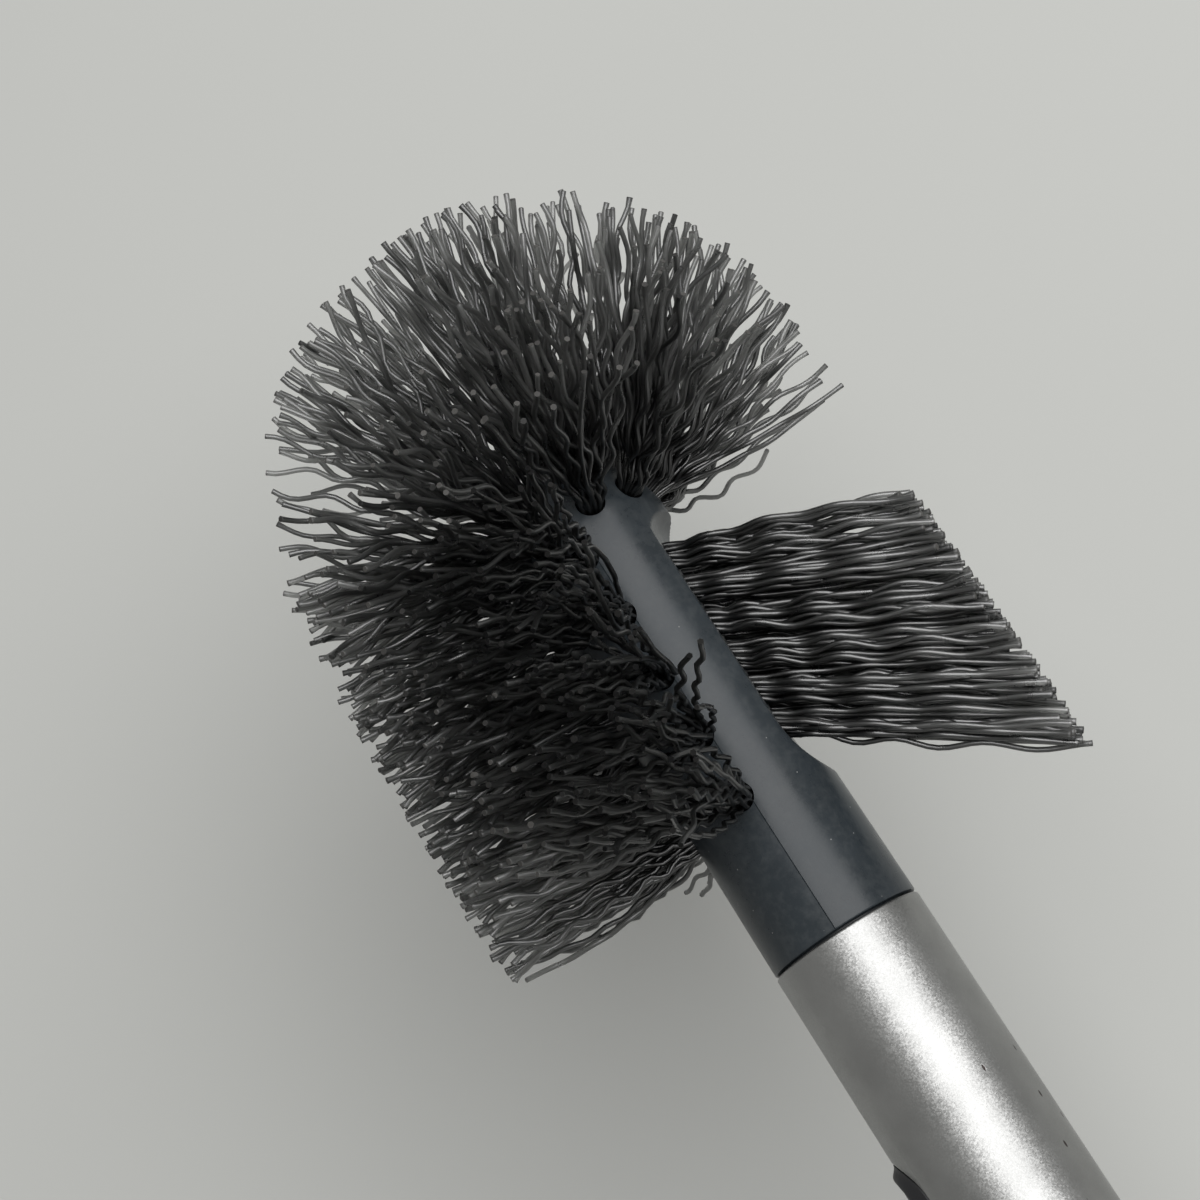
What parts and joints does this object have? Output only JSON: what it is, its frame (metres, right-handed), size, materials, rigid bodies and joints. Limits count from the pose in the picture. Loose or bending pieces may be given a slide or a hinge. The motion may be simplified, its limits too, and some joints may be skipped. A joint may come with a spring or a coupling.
{
  "type": "toilet brush",
  "caption": "Toilet brush: aluminium tube handle, removable head with a round bristle field, a domed crown and a swept rim-cleaning pack, held by a sprung push button.",
  "frame": {"origin": "centre of the end cap's flat end face", "axes": "+X along the handle towards the head, -Y towards the rim cleaner, +Y towards the release button, +Z towards the bare side of the head"},
  "size_m": [0.4017, 0.0831, 0.083],
  "materials": {
    "satin_aluminium": "satin anodised, fine grain",
    "slate_plastic": "semi-matt moulded plastic",
    "black_plastic": "semi-matt moulded plastic",
    "charcoal_bristle": "crimped translucent nylon filament"
  },
  "bodies": {
    "handle": {"handle_tube": "satin_aluminium", "end_cap": "black_plastic"},
    "head": {"head_core": "slate_plastic", "field_tuft_01": "charcoal_bristle", "field_tuft_02": "charcoal_bristle", "field_tuft_03": "charcoal_bristle", "field_tuft_04": "charcoal_bristle", "field_tuft_05": "charcoal_bristle", "field_tuft_06": "charcoal_bristle", "field_tuft_07": "charcoal_bristle", "field_tuft_08": "charcoal_bristle", "field_tuft_09": "charcoal_bristle", "field_tuft_10": "charcoal_bristle", "field_tuft_11": "charcoal_bristle", "field_tuft_12": "charcoal_bristle", "field_tuft_13": "charcoal_bristle", "field_tuft_14": "charcoal_bristle", "field_tuft_15": "charcoal_bristle", "field_tuft_16": "charcoal_bristle", "field_tuft_17": "charcoal_bristle", "field_tuft_18": "charcoal_bristle", "field_tuft_19": "charcoal_bristle", "field_tuft_20": "charcoal_bristle", "field_tuft_21": "charcoal_bristle", "field_tuft_22": "charcoal_bristle", "field_tuft_23": "charcoal_bristle", "crown_tuft_01": "charcoal_bristle", "crown_tuft_02": "charcoal_bristle", "crown_tuft_03": "charcoal_bristle", "crown_tuft_04": "charcoal_bristle", "crown_tuft_05": "charcoal_bristle", "crown_tuft_06": "charcoal_bristle", "crown_tuft_07": "charcoal_bristle", "crown_tuft_08": "charcoal_bristle", "crown_tuft_09": "charcoal_bristle", "crown_tuft_10": "charcoal_bristle", "crown_tuft_11": "charcoal_bristle", "crown_tuft_12": "charcoal_bristle", "crown_tuft_13": "charcoal_bristle", "crown_tuft_14": "charcoal_bristle", "crown_tuft_15": "charcoal_bristle", "crown_tuft_16": "charcoal_bristle", "rim_tuft_01": "charcoal_bristle", "rim_tuft_02": "charcoal_bristle", "rim_tuft_03": "charcoal_bristle", "rim_tuft_04": "charcoal_bristle", "rim_tuft_05": "charcoal_bristle", "rim_tuft_06": "charcoal_bristle", "rim_tuft_07": "charcoal_bristle", "rim_tuft_08": "charcoal_bristle", "rim_tuft_09": "charcoal_bristle", "rim_tuft_10": "charcoal_bristle", "rim_tuft_11": "charcoal_bristle"},
    "button": {"snap_button": "black_plastic"}
  },
  "joints": [
    {"name": "head_release", "type": "slide", "parent": "handle", "child": "head", "axis": [1, 0, 0], "range_m": [0, 0.06], "deforming": ["snap_button"]},
    {"name": "button_press", "type": "hinge", "parent": "head", "child": "button", "pos_m": [0.2766, 0.0072, 0], "axis": [0, 0, 1], "range_deg": [0, 6.5], "stiffness_Nm_per_rad": 0.6}
  ]
}
